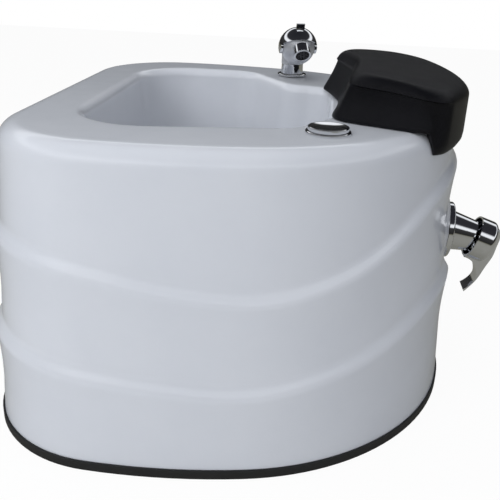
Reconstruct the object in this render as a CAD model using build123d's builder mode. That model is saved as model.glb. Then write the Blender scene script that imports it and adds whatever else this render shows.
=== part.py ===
from build123d import *
from math import atan, atan2, cos, degrees, pi, radians, sin, sqrt, tan
import os

# Pedicure foot bath, millimetres.
# Origin: centre of the tub's length and width, on the floor. +Z up.
# +X: the technician's end, with the footrest and the mixer. -Y: the side with the waste control.

os.makedirs("parts", exist_ok=True)

# Tub skirt, seen from above: flat customer end, rounded corners, bowed sides, round technician end
tub_length = 560
tub_width = 616
tub_height = 360
end_radius = 300
side_radius = 699
corner_radius = 151
rim_inset = 24.5
shell_wall = 5
rim_radius = 23

# Base trim and board
trim_height = 11
trim_stand_out = 1.5
trim_floor = 3
trim_inner_leg = 2.5
board_thickness = 15
board_gap = 1
board_access_radius = 45

# Basin opening and bowl
rim_end_width = 87.5
rim_side_width = 82
footrest_ledge = 151.5
opening_corner_radius = 75
knob_ledge_length = 42
knob_ledge_depth = 20
knob_ledge_run = 88
knob_ledge_inner_radius = 40
knob_ledge_outer_radius = 45
spout_ledge_length = 66
spout_ledge_depth = 90
spout_ledge_run = 92
spout_ledge_side_radius = 45
spout_ledge_inner_radius = 35
spout_ledge_outer_radius = 42
lip_height = 14
lip_width = 16
lip_radius = 12
basin_depth = 265
basin_wall = 5
basin_draft = 4.5
basin_flange_width = 18
basin_flange_thickness = 5
floor_radius = 20
bearer_width = 40
bearer_length = 120
bearer_spacing = 110

# Footrest
pad_height = 50
pad_outer_drop = 16
pad_inner_half_width = 112
pad_flare = 0.42
pad_corner_radius = 18
pad_lip_half_width = 150
pad_overlap = 5
pad_lip_thickness = 10
pad_lip_drop = 24
pad_stand_out = 2
pad_edge_radius = 12
plate_thickness = 8
plate_margin = 18
stud_radius = 4
stud_length = 42
stud_spacing = 160

# Drain
drain_x = -32
drain_flange_radius = 34
drain_flange_thickness = 3
drain_tube_radius = 24
drain_bore_radius = 19
plug_radius = 22
plug_thickness = 4
plug_stem_radius = 3
waste_wall = 5
tail_radius = 16
tail_wall = 2
tail_spigot_radius = 15
tail_bottom = 10

# Waste control on the rim
knob_from_rim = 111
knob_set_back = 2
knob_flange_radius = 24.5
knob_flange_thickness = 3
knob_radius = 22
knob_height = 4
knob_dish_depth = 2
grip_width = 4
hub_radius = 14
housing_radius = 15
housing_length = 58
spindle_radius = 4
cable_radius = 3

# Spout on the rim
spout_x = 42
spout_from_rim = 93
spout_flange_radius = 21.75
spout_flange_thickness = 3
spout_gasket_thickness = 1
neck_radius = 16.5
neck_height = 14
spigot_radius = 12
spigot_height = 18
shank_radius = 10
shank_length = 75
neck_bore = 7
head_radius = 25
head_reach = 25
head_lift = 27
head_heading = 17.5
nozzle_dip = 42
nozzle_radius = 12.25
nozzle_length = 14
aerator_radius = 10
aerator_depth = 5
band_thickness = 3
band_gap = 0.4
band_front_angle = 28
band_rear_angle = 118
band_ear_radius = 9
band_pin_radius = 3
band_tab_length = 8
band_tab_width = 12

# Mixer on the technician end
mixer_height = 200
mixer_tilt = 3
cartridge_tilt = 19
mixer_seat_radius = 42
mixer_seat_backing = 9
mixer_flange_radius = 37
mixer_flange_thickness = 7
mixer_root_radius = 26.5
mixer_end_radius = 21
mixer_reach = 39.2
mixer_drop = 7.3
mixer_shank_radius = 17
mixer_shank_length = 28
cartridge_radius = 15
cartridge_depth = 24
stem_radius = 6
stem_rise = 12
lever_cap_radius = 28.5
lever_cap_length = 25
lever_cap_wall = 2.2
lever_blade_half_width = 13
lever_pin_radius = 2
tail_piece_radius = 6
tail_piece_length = 24
hose_radius = 7

# Clearances
fit_gap = 0.05
turn_gap = 0.1
seam_gap = 0.3
hole_gap = 0.5
gasket_thickness = 1.5
washer_thickness = 2
nut_thickness = 10
nut_overhang = 8

# Places worked out from the sizes above
draft_angle = degrees(atan(rim_inset / tub_height))
draft_slope = rim_inset / tub_height
end_centre = Vector(tub_length / 2 - end_radius, 0)
side_centre_y = tub_width / 2 - side_radius
side_centre_x = end_centre.X - sqrt((side_radius - end_radius) ** 2 - side_centre_y**2)
side_centre = Vector(side_centre_x, side_centre_y)
corner_centre_x = corner_radius - tub_length / 2
corner_rise = sqrt((side_radius - corner_radius) ** 2 - (corner_centre_x - side_centre_x) ** 2)
corner_centre = Vector(corner_centre_x, side_centre_y + corner_rise)

deck_top = tub_height
deck_bottom = tub_height - shell_wall
rim_half_length = tub_length / 2 - rim_inset
rim_half_width = tub_width / 2 - rim_inset
open_left = rim_end_width - rim_half_length
open_right = rim_half_length - footrest_ledge
open_side = rim_half_width - rim_side_width
basin_top = tub_height - lip_height
basin_floor = tub_height - basin_depth
basin_bottom = basin_floor - basin_wall
board_bottom = trim_height + board_gap
board_top = board_bottom + board_thickness
pad_inner_x = open_right - pad_overlap
knob_x = open_right - knob_set_back
knob_y = knob_from_rim - rim_half_width
spout_y = rim_half_width - spout_from_rim


def tub_outline(inset):
    """Closed outline of the skirt at the floor, moved inwards by inset."""
    end_turn = degrees(atan2(-side_centre.Y, end_centre.X - side_centre.X))
    corner_turn = degrees(atan2(corner_centre.Y - side_centre.Y, corner_centre.X - side_centre.X))
    flat_x = inset - tub_length / 2
    with BuildLine() as outline:
        Line((flat_x, 0), (flat_x, corner_centre.Y))
        CenterArc(corner_centre, corner_radius - inset, 180, corner_turn - 180)
        CenterArc(side_centre, side_radius - inset, corner_turn, end_turn - corner_turn)
        CenterArc(end_centre, end_radius - inset, end_turn, -end_turn)
        mirror(about=Plane.XZ)
    return outline.line


def skirt_block(inset, bottom, top, top_radius=0):
    """Solid inside the tapered skirt between two heights, inset from its outer face."""
    with BuildPart() as block:
        with BuildSketch(Plane.XY.offset(bottom)):
            with BuildLine():
                add(tub_outline(inset + bottom * draft_slope))
            make_face()
        extrude(amount=top - bottom, taper=draft_angle)
        if top_radius > 0:
            fillet(block.faces().sort_by(Axis.Z)[-1].edges(), top_radius)
    return block.part


def opening_outline():
    """Basin wall line at rim level, with a ledge for the spout and one for the waste control."""
    corners = [
        (open_left, -open_side),
        (open_right - knob_ledge_length, knob_y + knob_ledge_depth),
        (open_right, knob_y + knob_ledge_run),
        (open_right, spout_y - spout_ledge_run),
        (spout_x, spout_y - spout_ledge_depth),
        (spout_x - spout_ledge_length, open_side),
        (open_left, open_side),
    ]
    radii = [
        opening_corner_radius,
        knob_ledge_inner_radius,
        knob_ledge_outer_radius,
        spout_ledge_outer_radius,
        spout_ledge_inner_radius,
        spout_ledge_side_radius,
        opening_corner_radius,
    ]
    with BuildLine() as outline:
        FilletPolyline(*corners, radius=radii, close=True)
    return outline.line


def opening_block(grow, top, bottom, taper, bottom_radius=0):
    """Solid inside the basin opening, grown outwards, drawn in as it goes down."""
    with BuildPart() as block:
        with BuildSketch(Plane.XY.offset(top)):
            with BuildLine():
                add(opening_outline())
            make_face()
            if grow != 0:
                offset(amount=grow, kind=Kind.ARC)
        extrude(amount=bottom - top, taper=taper)
        if bottom_radius > 0:
            fillet(block.faces().sort_by(Axis.Z)[0].edges(), bottom_radius)
    return block.part


def ring(plane, outer, inner, start, end):
    """Plain ring about a plane's normal, between two distances along it."""
    with BuildPart() as body:
        with BuildSketch(plane.offset(start)):
            Circle(outer)
            Circle(inner, mode=Mode.SUBTRACT)
        extrude(amount=end - start)
    return body.part


def hex_nut(plane, across_corners, bore, start, end):
    """Hexagonal nut about a plane's normal."""
    with BuildPart() as body:
        with BuildSketch(plane.offset(start)):
            RegularPolygon(across_corners, 6)
            Circle(bore, mode=Mode.SUBTRACT)
        extrude(amount=end - start)
    return body.part


def rod(plane, radius, start, end):
    """Plain cylinder about a plane's normal."""
    with BuildPart() as body:
        with BuildSketch(plane.offset(start)):
            Circle(radius)
        extrude(amount=end - start)
    return body.part


knob_plane = Plane((knob_x, knob_y, deck_top), z_dir=(0, 0, 1))
spout_plane = Plane((spout_x, spout_y, deck_top), z_dir=(0, 0, 1))
drain_plane = Plane((drain_x, 0, basin_floor), z_dir=(0, 0, 1))
mixer_origin = (tub_length / 2 - mixer_height * draft_slope, 0, mixer_height)
mixer_axis = (cos(radians(mixer_tilt)), 0, -sin(radians(mixer_tilt)))
mixer_plane = Plane(mixer_origin, x_dir=(0, 1, 0), z_dir=mixer_axis)
cartridge_origin = (mixer_origin[0] + mixer_reach, 0, mixer_height - mixer_drop)
cartridge_axis = (cos(radians(cartridge_tilt)), 0, -sin(radians(cartridge_tilt)))
cartridge_plane = Plane(cartridge_origin, x_dir=(0, 1, 0), z_dir=cartridge_axis)
stud_x = (open_right + lip_width + rim_half_length) / 2
stud_places = [(stud_x, -stud_spacing / 2), (stud_x, stud_spacing / 2)]


# Outer shell: tapered skirt and rim deck in one laminate, thickened round the basin opening,
# with a flat seat for the mixer and holes for every fitting.
with BuildPart() as outer_shell:
    add(skirt_block(0, trim_floor, tub_height, rim_radius))
    add(skirt_block(shell_wall, trim_floor, deck_bottom, rim_radius - shell_wall), mode=Mode.SUBTRACT)
    add(opening_block(lip_width, deck_bottom, basin_top, 0))
    add(rod(mixer_plane, mixer_seat_radius, -mixer_seat_backing, 0))
    add(rod(mixer_plane, mixer_seat_radius, 0, mixer_seat_radius), mode=Mode.SUBTRACT)
    add(opening_block(0, tub_height, basin_floor, basin_draft), mode=Mode.SUBTRACT)
    fillet(outer_shell.faces().filter_by(Plane.XY).sort_by(Axis.Z)[-1].inner_wires().edges(), lip_radius)
    add(rod(mixer_plane, mixer_shank_radius + hole_gap, -mixer_shank_length, 0), mode=Mode.SUBTRACT)
    add(rod(knob_plane, housing_radius + hole_gap, -shell_wall, 0), mode=Mode.SUBTRACT)
    add(rod(spout_plane, shank_radius + hole_gap, -shell_wall, 0), mode=Mode.SUBTRACT)
    with Locations(Plane.XY.offset(deck_top)):
        with Locations(*stud_places):
            Hole(stud_radius + hole_gap, depth=shell_wall)
outer_shell.part.label = "outer_shell"
export_step(outer_shell.part, "parts/outer_shell.step")

# Basin: moulded bowl bonded under the shell's thickened lip by its flange, with the waste hole.
with BuildPart() as basin:
    add(opening_block(basin_wall, basin_top, basin_bottom, basin_draft, floor_radius + basin_wall))
    add(opening_block(basin_flange_width, basin_top, basin_top - basin_flange_thickness, 0))
    add(opening_block(0, tub_height, basin_floor, basin_draft, floor_radius), mode=Mode.SUBTRACT)
    add(rod(drain_plane, drain_tube_radius + hole_gap, -basin_wall, 0), mode=Mode.SUBTRACT)
basin.part.label = "basin"
export_step(basin.part, "parts/basin.step")

# Base trim: rubber channel pushed over the skirt's lower edge.
trim_inner = shell_wall + trim_inner_leg
with BuildPart() as base_trim:
    with BuildSketch():
        with BuildLine():
            add(tub_outline(-trim_stand_out))
        make_face()
        with BuildLine():
            add(tub_outline(trim_inner))
        make_face(mode=Mode.SUBTRACT)
    extrude(amount=trim_height)
    chamfer(base_trim.faces().sort_by(Axis.Z)[-1].outer_wire().edges(), trim_stand_out / 2)
    add(outer_shell.part, mode=Mode.SUBTRACT)
base_trim.part.label = "base_trim"
export_step(base_trim.part, "parts/base_trim.step")

# Base board: plywood bonded across the foot of the skirt, cut away round the waste.
with BuildPart() as base_board:
    add(skirt_block(shell_wall, board_bottom, board_top))
    add(rod(drain_plane, board_access_radius, -basin_floor, 0), mode=Mode.SUBTRACT)
base_board.part.label = "base_board"
export_step(base_board.part, "parts/base_board.step")

# Basin bearers: two timber blocks that carry the basin's floor on the board.
with BuildPart() as basin_bearers:
    with BuildSketch(Plane.XY.offset(board_top)):
        with Locations((drain_x, 0)):
            with GridLocations(bearer_spacing, 0, 2, 1):
                Rectangle(bearer_width, bearer_length)
    extrude(amount=basin_bottom - board_top)
basin_bearers.part.label = "basin_bearers"
export_step(basin_bearers.part, "parts/basin_bearers.step")


def pad_outline(margin):
    """Footrest seen from above: wider away from the basin, following the rim outside."""
    inner = pad_inner_x + margin
    inner_half_width = pad_inner_half_width - margin
    far_half_width = inner_half_width + pad_flare * (tub_length - inner)
    pad_radius = end_radius - rim_inset + pad_lip_thickness + pad_stand_out - margin
    with BuildSketch() as outline:
        with BuildLine():
            Polyline((inner, -inner_half_width), (tub_length, -far_half_width),
                     (tub_length, far_half_width), (inner, inner_half_width), close=True)
        make_face()
        with Locations(end_centre):
            Circle(pad_radius, mode=Mode.INTERSECT)
        fillet(outline.vertices(), pad_corner_radius)
    return outline.sketch


# Footrest base: moulded plate recessed in the pad's underside.
with BuildPart() as footrest_base:
    with BuildSketch(Plane.XY.offset(deck_top)):
        add(pad_outline(plate_margin + pad_lip_thickness))
    extrude(amount=plate_thickness)
    with Locations(Plane.XY.offset(deck_top)):
        with Locations(*stud_places):
            Cylinder(stud_radius, plate_thickness, align=(Align.CENTER, Align.CENTER, Align.MIN),
                     mode=Mode.SUBTRACT)
footrest_base.part.label = "footrest_base"
export_step(footrest_base.part, "parts/footrest_base.step")

# Footrest pad: skinned foam, crowned towards the basin, with a lip down over the rim's outside.
pad_top = Plane((pad_inner_x, 0, deck_top + pad_height),
                z_dir=(pad_outer_drop, 0, rim_half_length - pad_inner_x))
lip_face_radius = end_radius - rim_inset + pad_lip_drop * draft_slope + seam_gap
with BuildPart() as footrest_pad:
    with BuildSketch(Plane.XY.offset(deck_top)):
        add(pad_outline(0))
    extrude(amount=pad_height)
    split(bisect_by=pad_top, keep=Keep.BOTTOM)
    fillet(footrest_pad.faces().sort_by(Axis.Z)[-1].edges(), pad_edge_radius)
    with BuildSketch(Plane.XY.offset(deck_top - pad_lip_drop)):
        add(pad_outline(0))
        with Locations(end_centre):
            Circle(lip_face_radius, mode=Mode.SUBTRACT)
        with Locations((tub_length / 2, 0)):
            Rectangle(tub_length, 2 * pad_lip_half_width, mode=Mode.INTERSECT)
    extrude(amount=pad_lip_drop)
    add(footrest_base.part, mode=Mode.SUBTRACT)
    with Locations(Plane.XY.offset(deck_top)):
        with Locations(*stud_places):
            Cylinder(stud_radius, plate_thickness, align=(Align.CENTER, Align.CENTER, Align.MIN),
                     mode=Mode.SUBTRACT)
footrest_pad.part.label = "footrest_pad"
export_step(footrest_pad.part, "parts/footrest_pad.step")

# Footrest studs: two studs from the footrest base down through the deck.
with BuildPart() as footrest_studs:
    with Locations(Plane.XY.offset(deck_top + plate_thickness)):
        with Locations(*stud_places):
            Cylinder(stud_radius, stud_length, align=(Align.CENTER, Align.CENTER, Align.MAX))
footrest_studs.part.label = "footrest_studs"
export_step(footrest_studs.part, "parts/footrest_studs.step")

# Footrest nuts: wing nuts under the deck.
wing_height = 8
wing_length = 30
wing_width = 4
wing_hub_radius = 8
with BuildPart() as footrest_nuts:
    with Locations(Plane.XY.offset(deck_bottom)):
        with Locations(*stud_places):
            Cylinder(wing_hub_radius, wing_height, align=(Align.CENTER, Align.CENTER, Align.MAX))
            Box(wing_length, wing_width, wing_height, align=(Align.CENTER, Align.CENTER, Align.MAX))
            Cylinder(stud_radius + fit_gap, wing_height, align=(Align.CENTER, Align.CENTER, Align.MAX),
                     mode=Mode.SUBTRACT)
footrest_nuts.part.label = "footrest_nuts"
export_step(footrest_nuts.part, "parts/footrest_nuts.step")

# Drain flange: flanged tube through the basin's floor, its mouth tapered as the plug's seat.
drain_tube_bottom = -29
seat_depth = 5
with BuildPart() as drain_flange:
    add(ring(drain_plane, drain_flange_radius, drain_bore_radius, 0, drain_flange_thickness))
    fillet(drain_flange.faces().sort_by(Axis.Z)[-1].outer_wire().edges(), drain_flange_thickness / 2)
    add(ring(drain_plane, drain_tube_radius, drain_bore_radius, drain_tube_bottom, 0))
    chamfer(drain_flange.faces().sort_by(Axis.Z)[-1].inner_wires().edges(), seat_depth)
drain_flange.part.label = "drain_flange"
export_step(drain_flange.part, "parts/drain_flange.step")

# Drain gasket and nut: clamp the flange to the basin's floor from below.
drain_nut_top = -basin_wall - drain_flange_thickness
drain_nut_bottom = drain_nut_top - nut_thickness
drain_gasket = ring(drain_plane, drain_flange_radius, drain_tube_radius + fit_gap, drain_nut_top,
                    -basin_wall)
drain_gasket.label = "drain_gasket"
export_step(drain_gasket, "parts/drain_gasket.step")
drain_nut = hex_nut(drain_plane, drain_flange_radius, drain_tube_radius + fit_gap,
                    drain_nut_bottom, drain_nut_top)
drain_nut.label = "drain_nut"
export_step(drain_nut, "parts/drain_nut.step")

# Waste body: cup screwed on the drain tube, with the plug's guide and the cable's gland.
waste_gap = 1
waste_length = 44
waste_top = drain_nut_bottom - waste_gap
waste_bottom = waste_top - waste_length
waste_outer = drain_tube_radius + waste_wall
guide_depth = 18
guide_bottom = waste_top - guide_depth
guide_height = 8
guide_radius = 7
guide_arm = 4
gland_depth = 30
gland_height = waste_top - gland_depth
gland_length = 12
gland_radius = 6
with BuildPart() as waste_body:
    add(rod(drain_plane, waste_outer, waste_bottom, waste_top))
    add(rod(drain_plane, drain_bore_radius, waste_bottom + waste_wall, waste_top), mode=Mode.SUBTRACT)
    add(rod(drain_plane, drain_tube_radius + fit_gap, drain_tube_bottom - fit_gap, waste_top),
        mode=Mode.SUBTRACT)
    add(rod(drain_plane, tail_spigot_radius + fit_gap, waste_bottom, waste_bottom + waste_wall),
        mode=Mode.SUBTRACT)
    with BuildSketch(drain_plane.offset(guide_bottom)):
        Rectangle(2 * drain_bore_radius, guide_arm)
        Rectangle(guide_arm, 2 * drain_bore_radius)
        Circle(guide_radius)
    extrude(amount=guide_height)
    add(rod(drain_plane, plug_stem_radius + fit_gap, guide_bottom, guide_bottom + guide_height),
        mode=Mode.SUBTRACT)
    gland_plane = Plane((drain_x, -drain_bore_radius - waste_wall / 2, basin_floor + gland_height),
                        z_dir=(0, -1, 0))
    gland_reach = waste_outer + gland_length - drain_bore_radius - waste_wall / 2
    add(rod(gland_plane, gland_radius, 0, gland_reach))
waste_body.part.label = "waste_body"
export_step(waste_body.part, "parts/waste_body.step")

# Tailpiece: waste tube from the body down through the board's cut-out, its narrower spigot
# in the body's floor.
tail_shoulder = basin_floor + waste_bottom
tail_plane = Plane((drain_x, 0, 0), z_dir=(0, 0, 1))
with BuildPart() as tailpiece:
    add(rod(tail_plane, tail_radius, tail_bottom, tail_shoulder))
    add(rod(tail_plane, tail_spigot_radius, tail_shoulder, tail_shoulder + waste_wall))
    add(rod(tail_plane, tail_radius - tail_wall, tail_bottom, tail_shoulder + waste_wall),
        mode=Mode.SUBTRACT)
tailpiece.part.label = "tailpiece"
export_step(tailpiece.part, "parts/tailpiece.step")

# Plug: domed disc over the drain's mouth, its seal in the tapered seat, its stem in the guide.
plug_bottom = drain_flange_thickness + seam_gap
plug_neck_radius = 12
plug_neck_bottom = drain_flange_thickness - seat_depth - 1
seal_radius = drain_bore_radius - seam_gap
with BuildPart() as plug:
    add(rod(drain_plane, plug_radius, plug_bottom, plug_bottom + plug_thickness))
    fillet(plug.faces().sort_by(Axis.Z)[-1].edges(), plug_thickness / 2)
    add(rod(drain_plane, plug_neck_radius, plug_neck_bottom, plug_bottom))
    add(rod(drain_plane, plug_stem_radius, plug_neck_bottom, 0), mode=Mode.SUBTRACT)
plug.part.label = "plug"
export_step(plug.part, "parts/plug.step")
plug_seal = ring(drain_plane, seal_radius, plug_neck_radius, plug_neck_bottom + 1, plug_bottom)
plug_seal.label = "plug_seal"
export_step(plug_seal, "parts/plug_seal.step")
plug_stem = rod(drain_plane, plug_stem_radius, guide_bottom - guide_height, 0)
plug_stem.label = "plug_stem"
export_step(plug_stem, "parts/plug_stem.step")

# Waste control: fixed escutcheon and housing, clamped under the deck.
with BuildPart() as control_escutcheon:
    add(ring(knob_plane, knob_flange_radius, hub_radius + turn_gap, 0, knob_flange_thickness))
    fillet(control_escutcheon.faces().sort_by(Axis.Z)[-1].outer_wire().edges(),
           knob_flange_thickness / 2)
control_escutcheon.part.label = "control_escutcheon"
export_step(control_escutcheon.part, "parts/control_escutcheon.step")
hub_depth = 8
with BuildPart() as control_housing:
    add(rod(knob_plane, housing_radius, -housing_length, 0))
    add(rod(knob_plane, hub_radius + turn_gap, -hub_depth - seam_gap, 0), mode=Mode.SUBTRACT)
    add(rod(knob_plane, spindle_radius + fit_gap, washer_thickness - housing_length, -hub_depth),
        mode=Mode.SUBTRACT)
    add(rod(knob_plane, cable_radius, -housing_length, washer_thickness - housing_length),
        mode=Mode.SUBTRACT)
control_housing.part.label = "control_housing"
export_step(control_housing.part, "parts/control_housing.step")
control_locknut = hex_nut(knob_plane, housing_radius + nut_overhang, housing_radius + fit_gap,
                          -shell_wall - nut_thickness, -shell_wall)
control_locknut.label = "control_locknut"
export_step(control_locknut, "parts/control_locknut.step")

# Waste knob: dished disc with a curved finger grip, its hub turning in the housing.
knob_bottom = knob_flange_thickness + seam_gap
knob_top = knob_bottom + knob_height
with BuildPart() as control_knob:
    add(rod(knob_plane, knob_radius, knob_bottom, knob_top))
    fillet(control_knob.faces().sort_by(Axis.Z)[-1].edges(), knob_height / 4)
    dish_radius = knob_radius - grip_width / 2
    ball_radius = (dish_radius**2 + knob_dish_depth**2) / (2 * knob_dish_depth)
    with Locations(knob_plane.offset(knob_top - knob_dish_depth + ball_radius)):
        Sphere(ball_radius, mode=Mode.SUBTRACT)
    with BuildSketch(knob_plane.offset(knob_top - knob_dish_depth - 1)):
        with BuildLine():
            grip_line = ThreePointArc((-dish_radius, -dish_radius / 3), (0, dish_radius / 6),
                                      (dish_radius, -dish_radius / 3))
            offset(amount=grip_width / 2, side=Side.BOTH)
        make_face()
        Circle(dish_radius, mode=Mode.INTERSECT)
    extrude(amount=knob_dish_depth + 1)
    add(rod(knob_plane, hub_radius, -hub_depth, knob_bottom))
    add(rod(knob_plane, spindle_radius, -hub_depth, 0), mode=Mode.SUBTRACT)
control_knob.part.label = "control_knob"
export_step(control_knob.part, "parts/control_knob.step")
control_spindle = rod(knob_plane, spindle_radius, 2 * washer_thickness - housing_length, 0)
control_spindle.label = "control_spindle"
export_step(control_spindle, "parts/control_spindle.step")


def swept_tube(points, radius):
    """Round tube along straight runs joined by arcs that are as large as the runs allow."""
    runs = [Vector(b) - Vector(a) for a, b in zip(points, points[1:])]
    radii = []
    for before, after in zip(runs, runs[1:]):
        half_turn = radians(before.get_angle(after)) / 2
        radii.append(0.45 * min(before.length, after.length) / tan(half_turn))
    with BuildPart() as tube:
        with BuildLine() as path:
            FilletPolyline(*points, radius=radii)
        with BuildSketch(Plane(points[0], z_dir=runs[0])):
            Circle(radius)
        sweep(path=path.line)
    expected_volume = path.wire().length * pi * radius**2
    print("tube volume", round(tube.part.volume), "section times length", round(expected_volume))
    print("tube bend radii", [round(bend) for bend in radii])
    return tube.part


# Bowden cable: from the waste control down the cavity and under the basin to the waste body.
cable_end = (drain_x, -waste_outer - gland_length, basin_floor + gland_height)
cable_points = [
    (knob_x, knob_y, deck_top - housing_length),
    (knob_x - 2, knob_y - 3, deck_top - housing_length - 60),
    (knob_x - 12, knob_y - 6, deck_top - housing_length - 120),
    (knob_x - 32, knob_y - 2, deck_top - housing_length - 175),
    (knob_x - 62, knob_y + 14, deck_top - housing_length - 220),
    (drain_x + 30, knob_y + 36, cable_end[2] + 12),
    (drain_x, cable_end[1] - 42, cable_end[2]),
    cable_end,
]
bowden_cable = swept_tube(cable_points, cable_radius)
bowden_cable.label = "bowden_cable"
export_step(bowden_cable, "parts/bowden_cable.step")

# Spout: gasket, flange and threaded neck through the deck, clamped by a washer and nut.
flange_bottom = spout_gasket_thickness
flange_top = flange_bottom + spout_flange_thickness
neck_top = flange_top + neck_height
spigot_top = neck_top + spigot_height
spout_gasket = ring(spout_plane, spout_flange_radius - 1, shank_radius + fit_gap, 0, flange_bottom)
spout_gasket.label = "spout_gasket"
export_step(spout_gasket, "parts/spout_gasket.step")
with BuildPart() as spout_flange:
    add(ring(spout_plane, spout_flange_radius, shank_radius + fit_gap, flange_bottom, flange_top))
    fillet(spout_flange.faces().sort_by(Axis.Z)[-1].outer_wire().edges(), spout_flange_thickness / 2)
spout_flange.part.label = "spout_flange"
export_step(spout_flange.part, "parts/spout_flange.step")
seal_height = 4
seal_groove = 2
neck_taper = 2
with BuildPart() as spout_neck:
    with BuildSketch(spout_plane.offset(flange_top)):
        Circle(neck_radius)
    extrude(amount=neck_height, taper=neck_taper)
    add(rod(spout_plane, spigot_radius, neck_top, spigot_top))
    add(rod(spout_plane, shank_radius, -shank_length, flange_top))
    add(rod(spout_plane, neck_bore, -shank_length, spigot_top), mode=Mode.SUBTRACT)
    seal_bottom = neck_top + seal_height
    add(ring(spout_plane, spigot_radius, spigot_radius - seal_groove, seal_bottom,
             seal_bottom + seal_height), mode=Mode.SUBTRACT)
spout_neck.part.label = "spout_neck"
export_step(spout_neck.part, "parts/spout_neck.step")
spout_seal = ring(spout_plane, spigot_radius, spigot_radius - seal_groove, seal_bottom,
                  seal_bottom + seal_height)
spout_seal.label = "spout_seal"
export_step(spout_seal, "parts/spout_seal.step")
spout_washer = ring(spout_plane, shank_radius + nut_overhang, shank_radius + fit_gap,
                    -shell_wall - washer_thickness, -shell_wall)
spout_washer.label = "spout_washer"
export_step(spout_washer, "parts/spout_washer.step")
spout_locknut = hex_nut(spout_plane, shank_radius + nut_overhang, shank_radius + fit_gap,
                        -shell_wall - washer_thickness - nut_thickness,
                        -shell_wall - washer_thickness)
spout_locknut.label = "spout_locknut"
export_step(spout_locknut, "parts/spout_locknut.step")

# Spout head: rounded body reaching over the basin from the neck, its nozzle pocket dipping down.
heading = Vector(sin(radians(head_heading)), -cos(radians(head_heading)), 0)
side = Vector(cos(radians(head_heading)), sin(radians(head_heading)), 0)
head_bottom = neck_top + seam_gap
elbow_top = head_bottom + head_lift - spigot_radius / 2
head_centre = Vector(spout_x, spout_y, deck_top + head_bottom + head_lift) + heading * head_reach
nozzle_axis = heading * cos(radians(nozzle_dip)) + Vector(0, 0, -sin(radians(nozzle_dip)))
nozzle_root = head_centre + heading * (head_radius - 1) + Vector(0, 0, -head_radius / 8)
nozzle_plane = Plane(nozzle_root, z_dir=nozzle_axis)
pocket_depth = 6
pocket_floor = nozzle_root - nozzle_axis * pocket_depth
channel_start = Vector(spout_x, spout_y, deck_top + spigot_top)
channel = pocket_floor - channel_start
elbow_plane = Plane((spout_x, spout_y, deck_top + elbow_top), z_dir=heading)
with BuildPart() as spout_head:
    add(rod(spout_plane, neck_radius, head_bottom, elbow_top))
    with Locations(spout_plane.offset(elbow_top)):
        Sphere(neck_radius)
    add(rod(elbow_plane, neck_radius, 0, head_reach))
    with Locations(head_centre):
        Sphere(head_radius)
    add(rod(spout_plane, spigot_radius + fit_gap, head_bottom, spigot_top + seam_gap),
        mode=Mode.SUBTRACT)
    add(rod(spout_plane, neck_radius * 2, 0, head_bottom), mode=Mode.SUBTRACT)
    add(rod(nozzle_plane, nozzle_radius, -pocket_depth, head_radius), mode=Mode.SUBTRACT)
    add(rod(Plane(channel_start, z_dir=channel), neck_bore, 0, channel.length + 1),
        mode=Mode.SUBTRACT)
    pin_plane = Plane(head_centre, z_dir=side)
    pin_depth = 8
    add(rod(pin_plane, band_pin_radius, head_radius - pin_depth, head_radius), mode=Mode.SUBTRACT)
    add(rod(pin_plane, band_pin_radius, -head_radius, pin_depth - head_radius), mode=Mode.SUBTRACT)
spout_head.part.label = "spout_head"
export_step(spout_head.part, "parts/spout_head.step")

# Nozzle collar and the aerator insert in its mouth.
nozzle_end = nozzle_length - pocket_depth
collar_edge_radius = 1
with BuildPart() as nozzle_collar:
    add(rod(nozzle_plane, nozzle_radius, -pocket_depth, nozzle_end))
    collar_face = nozzle_collar.faces().sort_by(Axis(nozzle_root, nozzle_axis))[-1]
    fillet(collar_face.edges(), collar_edge_radius)
    add(rod(nozzle_plane, aerator_radius, nozzle_end - aerator_depth, nozzle_end), mode=Mode.SUBTRACT)
    add(rod(nozzle_plane, neck_bore, -pocket_depth, nozzle_end), mode=Mode.SUBTRACT)
nozzle_collar.part.label = "nozzle_collar"
export_step(nozzle_collar.part, "parts/nozzle_collar.step")
aerator_hole = 1.2
with BuildPart() as aerator:
    add(rod(nozzle_plane, aerator_radius, nozzle_end - aerator_depth, nozzle_end - 1))
    with BuildSketch(nozzle_plane.offset(nozzle_end - 1)):
        with PolarLocations(aerator_radius / 2, 6):
            Circle(aerator_hole)
        with PolarLocations(aerator_radius * 0.75, 12):
            Circle(aerator_hole)
        Circle(aerator_hole)
    extrude(amount=1 - aerator_depth, mode=Mode.SUBTRACT)
aerator.part.label = "aerator"
export_step(aerator.part, "parts/aerator.step")

# Spout lever: saddle over the head, between two pins, with ears at its sides and a thumb tab.
band_inner = head_radius + band_gap
band_outer = band_inner + band_thickness
wedge_reach = band_outer * 3
band_middle_angle = (band_front_angle + band_rear_angle) / 2


def saddle_point(angle, reach):
    """Point in the saddle's middle plane, at an angle above the heading."""
    rise = Vector(0, 0, sin(radians(angle)) * reach)
    return head_centre + heading * (cos(radians(angle)) * reach) + rise


wedge_points = [head_centre]
for angle in (band_front_angle, band_middle_angle, band_rear_angle):
    wedge_points.append(saddle_point(angle, wedge_reach))
with BuildPart() as spout_lever:
    with Locations(head_centre):
        Sphere(band_outer)
    with BuildSketch(pin_plane.offset(-wedge_reach)):
        with BuildLine():
            Polyline(*[pin_plane.to_local_coords(point) for point in wedge_points], close=True)
        make_face()
        Circle(band_ear_radius)
    extrude(amount=2 * wedge_reach, mode=Mode.INTERSECT)
    tab_plane = Plane(head_centre, x_dir=side, z_dir=saddle_point(band_middle_angle, 1) - head_centre)
    with BuildSketch(tab_plane.offset(band_outer - 1)):
        Rectangle(band_tab_width, band_thickness)
    extrude(amount=band_tab_length)
    with Locations(head_centre):
        Sphere(band_inner, mode=Mode.SUBTRACT)
    add(rod(pin_plane, band_pin_radius + fit_gap, -band_outer, band_outer), mode=Mode.SUBTRACT)
spout_lever.part.label = "spout_lever"
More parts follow.
